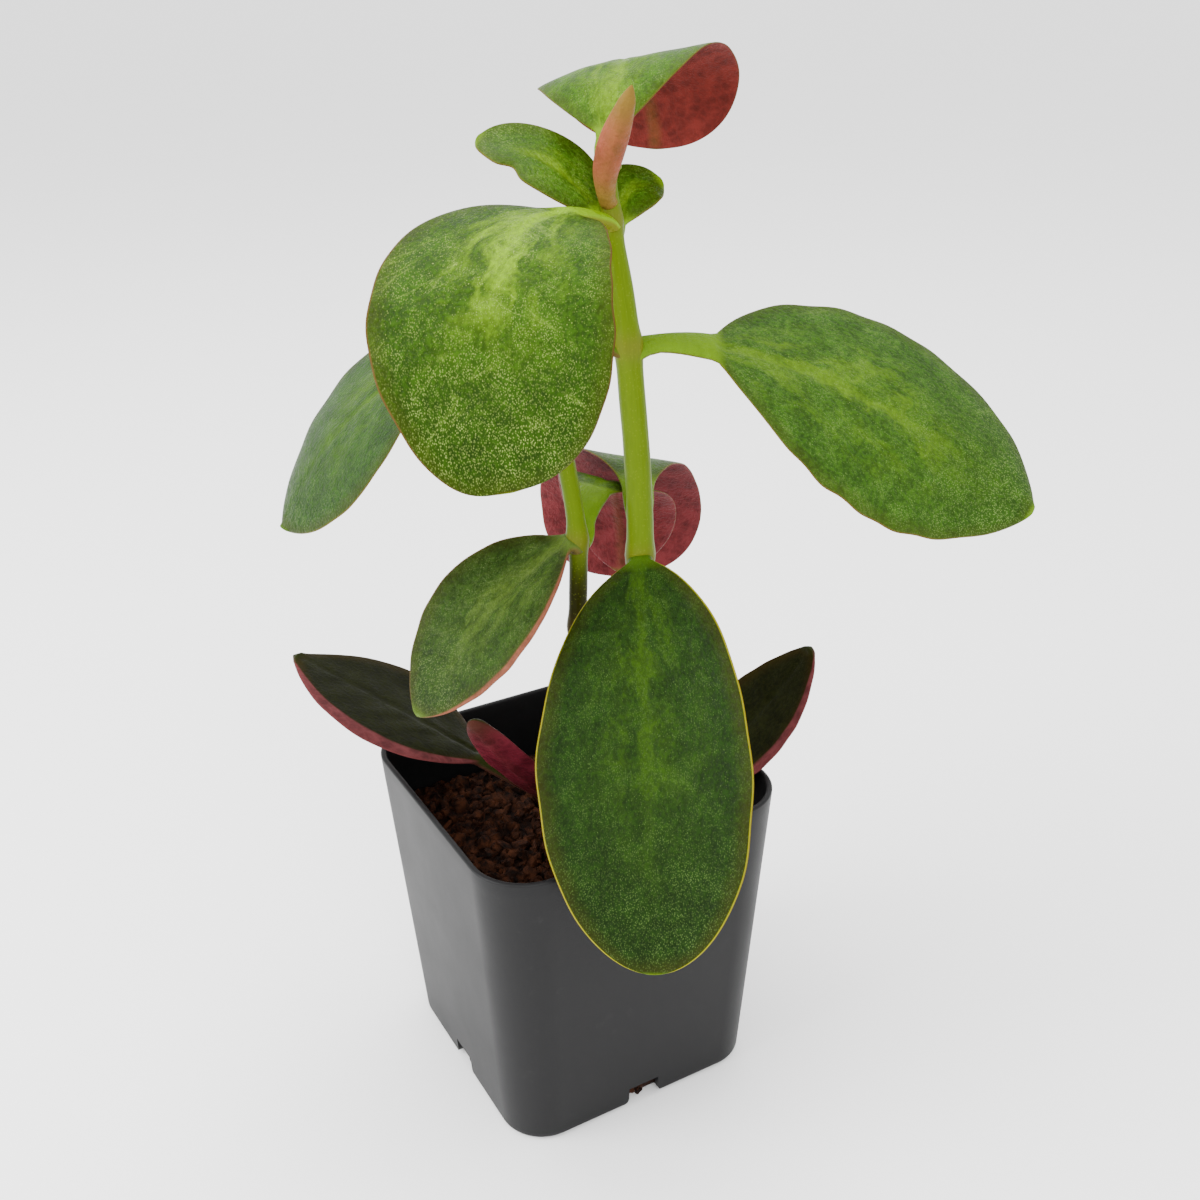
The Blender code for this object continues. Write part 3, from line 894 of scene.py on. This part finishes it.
def build_pot(sizes, material):
    """The tub as one closed skin: up the outer wall, over a rounded rim, down inside, across the floor.

    The notches are taken out of it as solids.
    """
    steps = sizes.corner_steps
    wall = sizes.wall / MM
    lip = sizes.lip / MM
    turns = np.linspace(0.0, np.pi / 2, 5)
    profile = [(BASE_ROUNDING * (1 - np.cos(a)), BASE_ROUNDING * (1 - np.sin(a))) for a in turns]
    profile += [(level, 0.0) for level in np.linspace(1.8, POT_HEIGHT - lip, 24)]
    profile += [(POT_HEIGHT - lip * (1 - np.sin(a)), lip * (1 - np.cos(a))) for a in turns[1:]]
    profile += [(POT_HEIGHT - lip * (1 - np.cos(a)), wall - lip * (1 - np.sin(a))) for a in turns]
    profile += [(level, wall) for level in np.linspace(POT_HEIGHT - 2.0, POT_FLOOR, 12)]
    rings = np.array([pot_outline(level, inset, steps) for level, inset in profile])
    pot = new_piece("pot_surface", rings, tube_faces(*rings.shape[:2]), material, "pot")
    for quarter in range(4):
        notch = notch_shape(quarter)
        mesh = bpy.data.meshes.new("notch")
        mesh.from_pydata(notch.reshape(-1, 3) * MM, [], tube_faces(*notch.shape[:2]))
        cutter = add_object("notch", mesh)
        boolean = pot.modifiers.new("notch", "BOOLEAN")
        boolean.operation = "DIFFERENCE"
        boolean.object = cutter
        settle_modifiers(pot)
        bpy.data.objects.remove(cutter)
    pot.data.set_sharp_from_angle(angle=np.radians(35.0))
    return pot


def settle_modifiers(piece):
    """Keep the evaluated mesh of a piece and drop its modifiers."""
    evaluated = piece.evaluated_get(bpy.context.evaluated_depsgraph_get())
    settled = bpy.data.meshes.new_from_object(evaluated)
    piece.modifiers.clear()
    piece.data = settled


def soil_level(x, y):
    """Height of the mix's surface: a low crown that falls off to the wall, with lumps."""
    reach = np.maximum(np.abs(x), np.abs(y)) / 32.0
    level = SOIL_EDGE_LEVEL + (SOIL_CROWN_LEVEL - SOIL_EDGE_LEVEL) * smooth_step(1.3 - reach)
    return level + 0.7 * ripple(x * 0.55, y * 0.55, 3) + 0.35 * ripple(x * 1.7, y * 1.7, 4)


def build_mix(material):
    """The block of mix: rings shrink across its lumpy top, and its side stops short of the wall."""
    steps = 16
    side_levels = np.linspace(1.8, SOIL_EDGE_LEVEL - 1.0, 20)
    rings = [pot_outline(level, MIX_GAP, steps) for level in side_levels]
    edge = pot_outline(SOIL_EDGE_LEVEL, MIX_GAP, steps)
    for shrink in np.linspace(1.0, 0.02, 46):
        ring = edge * np.array((shrink, shrink, 1.0))
        ring[:, 2] = soil_level(ring[:, 0], ring[:, 1])
        rings.append(ring)
    rings = np.array(rings)
    faces = tube_faces(*rings.shape[:2])
    return new_piece("potting_mix_surface", rings, faces, material, "potting_mix")


def crumb_shape():
    """A chunk of bark: the 26 outer points of a cubic grid, drawn in towards a ball, and 24 quads."""
    t = np.linspace(-1.0, 1.0, 3)
    grid = np.array(np.meshgrid(t, t, t, indexing="ij")).reshape(3, -1).T
    outer = np.abs(grid).max(axis=1) > 0.5
    number = (np.cumsum(outer) - 1).reshape(3, 3, 3)
    faces = []
    for axis, u, v in np.ndindex(3, 2, 2):
        for level, order in ((2, 1), (0, -1)):
            corners = ((u, v, level), (u + 1, v, level), (u + 1, v + 1, level), (u, v + 1, level))
            faces.append([number[tuple(np.roll(corner, axis))] for corner in corners[::order]])
    shape = grid[outer]
    shape = shape / np.linalg.norm(shape, axis=1, keepdims=True) ** 0.6
    return shape * 0.5, np.array(faces)


def random_turns(random, count):
    """Random rotations, from unit quaternions."""
    w, x, y, z = unit(random.normal(size=(count, 4))).T
    return np.stack([
        np.stack([1 - 2 * (y * y + z * z), 2 * (x * y - w * z), 2 * (x * z + w * y)], -1),
        np.stack([2 * (x * y + w * z), 1 - 2 * (x * x + z * z), 2 * (y * z - w * x)], -1),
        np.stack([2 * (x * z - w * y), 2 * (y * z + w * x), 1 - 2 * (x * x + y * y)], -1)], 1)


def scatter(random, shape, faces, scales, places):
    """Copies of a shape: jittered, stretched, turned and moved, as one set of points and faces."""
    count = len(places)
    jitter = 1 + random.normal(scale=0.16, size=(count, len(shape), 3))
    points = shape[None] * jitter * scales[:, None]
    points = np.einsum("nij,nkj->nki", random_turns(random, count), points) + places[:, None]
    offsets = (np.arange(count) * len(shape))[:, None, None]
    return points, (faces[None] + offsets).reshape(-1, faces.shape[1])


def build_crumbs(settings, material):
    """Bark crumbs lying half sunk in the mix's top, and a few in each drain notch."""
    random = np.random.default_rng(settings.seed)
    shape, faces = crumb_shape()
    half, corner = CRUMB_AREA_HALF, CRUMB_AREA_CORNER
    x, y = random.uniform(-half, half, (2, settings.crumbs))
    past_corner = (np.maximum(np.abs(values) - half + corner, 0) for values in (x, y))
    inside = np.hypot(*past_corner) < corner
    x, y = x[inside], y[inside]
    size = settings.crumb_size / MM * random.lognormal(0.0, 0.42, len(x)).clip(0.35, 2.1)
    scales = size[:, None] * random.uniform((0.7, 0.5, 0.3), (1.4, 1.0, 0.8), (len(x), 3))
    places = [np.stack([x, y, soil_level(x, y) + 0.15 * size], -1)]
    for turn in np.arange(4) * np.pi / 2:
        across = random.uniform(-3.0, 3.0, CRUMBS_PER_NOTCH)
        away = random.uniform(26.5, 28.6, CRUMBS_PER_NOTCH)
        places.append(np.stack([across * np.cos(turn) + away * np.sin(turn),
                                across * np.sin(turn) - away * np.cos(turn),
                                random.uniform(1.6, 3.6, CRUMBS_PER_NOTCH)], -1))
    notch_scales = random.uniform(1.0, 2.0, (4 * CRUMBS_PER_NOTCH, 3))
    places = np.vstack(places)
    points, quads = scatter(random, shape, faces, np.vstack([scales, notch_scales]), places)
    piece = new_piece("bark_crumbs", points, quads.tolist(), material)
    piece.data.shade_flat()
    return piece


def build_fibres(settings, material):
    """Coir fibres: thin three-sided tubes on arcs that lie on the mix and lift a little."""
    random = np.random.default_rng(settings.seed + 1)
    all_points, all_faces = [], []
    rows, sides = 9, 3
    faces = tube_faces(rows, sides)
    t = np.linspace(-0.5, 0.5, rows)
    for k in range(settings.fibres):
        x, y = random.uniform(-26, 26, 2)
        heading = random.uniform(0, np.pi)
        length = random.uniform(4, 12)
        bow = random.normal(scale=0.25)
        along_x = x + length * (t * np.cos(heading) - bow * (t * t) * np.sin(heading))
        along_y = y + length * (t * np.sin(heading) + bow * (t * t) * np.cos(heading))
        lift = 0.5 + random.uniform(0.2, 0.9) * np.cos(t * 5.0)
        path = np.stack([along_x, along_y, soil_level(along_x, along_y) + lift], -1)
        radius = 0.11 * np.sqrt(np.clip(1 - (2 * t) ** 2, 0.02, 1.0))
        angle = np.arange(sides) * 2 * np.pi / sides
        side = np.array((-np.sin(heading), np.cos(heading), 0.0))
        ring = side[None] * np.cos(angle)[:, None] + np.array((0, 0, 1.0)) * np.sin(angle)[:, None]
        points = path[:, None] + radius[:, None, None] * ring[None]
        first = len(all_points) * rows * sides
        all_faces += [[first + corner for corner in face] for face in faces]
        all_points.append(points)
    return new_piece("coir_fibres", np.array(all_points), all_faces, material)


# ---------------------------------------------------------------- stage

CAMERA_BEARING = -29.1
CAMERA_RISE = 25.1
CAMERA_TILT = -1.1
CAMERA_SIDE_SHIFT = 0.007
CAMERA_AIM_HEIGHT = 0.112
CAMERA_LENS = 40.5
LIGHT_TARGET = (0.0, 0.0, 0.10)
FLOOR_REACH = 60.0


def add_camera(settings):
    """The camera, from its bearing, rise and tilt around a point on the plant."""
    bearing, rise, tilt = np.radians((CAMERA_BEARING, CAMERA_RISE, CAMERA_TILT))
    back = np.array((np.sin(bearing) * np.cos(rise), -np.cos(bearing) * np.cos(rise), np.sin(rise)))
    right = unit(np.cross(-back, (0.0, 0.0, 1.0)))
    up = np.cross(right, -back)
    right, up = np.cos(tilt) * right + np.sin(tilt) * up, np.cos(tilt) * up - np.sin(tilt) * right
    aim = np.array((0.0, 0.0, CAMERA_AIM_HEIGHT)) + right * CAMERA_SIDE_SHIFT
    place = aim + back * settings.camera_distance
    camera = add_object("camera", bpy.data.cameras.new("camera"))
    camera.data.lens = CAMERA_LENS
    camera.data.clip_start = 0.01
    columns = np.column_stack([right, up, back, place])
    camera.matrix_world = Matrix([*columns.tolist(), (0.0, 0.0, 0.0, 1.0)])
    bpy.context.scene.camera = camera


def add_light(name, place, size, power):
    """A square soft light aimed at the plant."""
    light = bpy.data.lights.new(name, "AREA")
    light.size = size
    light.energy = power
    item = add_object(name, light)
    item.location = place
    item.rotation_euler = (Vector(LIGHT_TARGET) - Vector(place)).to_track_quat("-Z", "Y").to_euler()


def add_floor(settings):
    """A wide pale floor, just under the pot."""
    n = Nodes("studio_floor")
    bright = tuple(settings.floor_colour)
    material = n.finish(n.mix(n.noise(6.0, 2.0), tinted(bright, 0.98), bright), 0.8)
    mesh = bpy.data.meshes.new("floor")
    corners = [(x * FLOOR_REACH, y * FLOOR_REACH, 0) for x, y in ((-1, -1), (1, -1), (1, 1), (-1, 1))]
    mesh.from_pydata(corners, [], [(0, 1, 2, 3)])
    mesh.materials.append(material)
    floor = add_object("floor", mesh)
    floor.location.z = -0.0003


def add_world():
    """Even pale light from all around."""
    world = bpy.data.worlds.new("studio")
    world.use_nodes = True
    background = world.node_tree.nodes["Background"]
    background.inputs["Color"].default_value = (1.0, 1.0, 1.0, 1.0)
    background.inputs["Strength"].default_value = 2.2
    bpy.context.scene.world = world


# ---------------------------------------------------------------- operators


class PLANT_OT_stage(bpy.types.Operator):
    """Add the floor, the soft light and the camera"""

    bl_idname = "plant.stage"
    bl_label = "Stage"

    def execute(self, context):
        """Build the stage."""
        settings = context.scene.plant_stage
        add_camera(settings)
        add_floor(settings)
        add_world()
        power = settings.light_power
        add_light("left_panel", (-0.80, 0.15, 0.50), 0.6, 14.0 * power)
        add_light("front_panel", (-0.25, -0.9, 0.75), 0.6, 8.0 * power)
        add_light("top_panel", (0.1, 0.2, 1.1), 0.7, 10.0 * power)
        return {"FINISHED"}


class PLANT_OT_pot(bpy.types.Operator):
    """Build the nursery pot"""

    bl_idname = "plant.pot"
    bl_label = "Pot"

    def execute(self, context):
        """Build the pot from its sizes."""
        settings = context.scene.plant_pot
        build_pot(settings, plastic_material(settings))
        return {"FINISHED"}


class PLANT_OT_mix(bpy.types.Operator):
    """Build the potting mix with its bark crumbs and coir fibres"""

    bl_idname = "plant.mix"
    bl_label = "Potting mix"

    def execute(self, context):
        """Build the block, then what lies on it."""
        settings = context.scene.plant_mix
        build_mix(bark_material(settings, "packed_mix", 0.6))
        build_crumbs(settings, bark_material(settings, "bark", 1.7))
        build_fibres(settings, bark_material(settings, "coir", 1.6))
        return {"FINISHED"}


class PLANT_OT_stems(bpy.types.Operator):
    """Build the two stems"""

    bl_idname = "plant.stems"
    bl_label = "Stems"

    def execute(self, context):
        """Build both stems with one material."""
        settings = context.scene.plant_stems
        material = stem_material(settings)
        build_stem("main_stem", MAIN_STEM, MAIN_NODES, settings, material, 72.0)
        build_stem("side_stem", SIDE_STEM, SIDE_NODES, settings, material, 128.0)
        return {"FINISHED"}


class PLANT_OT_leaves(bpy.types.Operator):
    """Build every leaf"""

    bl_idname = "plant.leaves"
    bl_label = "Leaves"

    def execute(self, context):
        """Build each leaf with its finish."""
        sizes = context.scene.plant_leaves
        materials = {finish: leaf_material(finish) for finish in LEAF_FINISHES}
        for seed, leaf in enumerate(LEAVES):
            build_leaf(leaf, sizes, materials[leaf.finish], seed)
        return {"FINISHED"}


class PLANT_PT_panel(bpy.types.Panel):
    """Lists the steps in the sidebar"""

    bl_label = "Potted plant"
    bl_idname = "PLANT_PT_panel"
    bl_space_type = "VIEW_3D"
    bl_region_type = "UI"
    bl_category = "Plant"

    def draw(self, context):
        """Draw a button for each step."""
        for operator in OPERATORS:
            self.layout.operator(operator.bl_idname)


OPERATORS = (PLANT_OT_stage, PLANT_OT_pot, PLANT_OT_mix, PLANT_OT_stems, PLANT_OT_leaves)
SETTINGS = {
    "plant_stage": PLANT_PG_stage,
    "plant_pot": PLANT_PG_pot,
    "plant_mix": PLANT_PG_mix,
    "plant_stems": PLANT_PG_stems,
    "plant_leaves": PLANT_PG_leaves,
}


def register():
    """Register the settings, the operators and the panel."""
    for key, group in SETTINGS.items():
        bpy.utils.register_class(group)
        setattr(bpy.types.Scene, key, bpy.props.PointerProperty(type=group))
    for operator in OPERATORS:
        bpy.utils.register_class(operator)
    bpy.utils.register_class(PLANT_PT_panel)


def unregister():
    """Undo register."""
    bpy.utils.unregister_class(PLANT_PT_panel)
    for operator in reversed(OPERATORS):
        bpy.utils.unregister_class(operator)
    for key, group in SETTINGS.items():
        delattr(bpy.types.Scene, key)
        bpy.utils.unregister_class(group)


def main():
    """Build everything in order."""
    register()
    bpy.ops.plant.stage()
    bpy.ops.plant.pot()
    bpy.ops.plant.mix()
    bpy.ops.plant.stems()
    bpy.ops.plant.leaves()


if __name__ == "__main__":
    main()
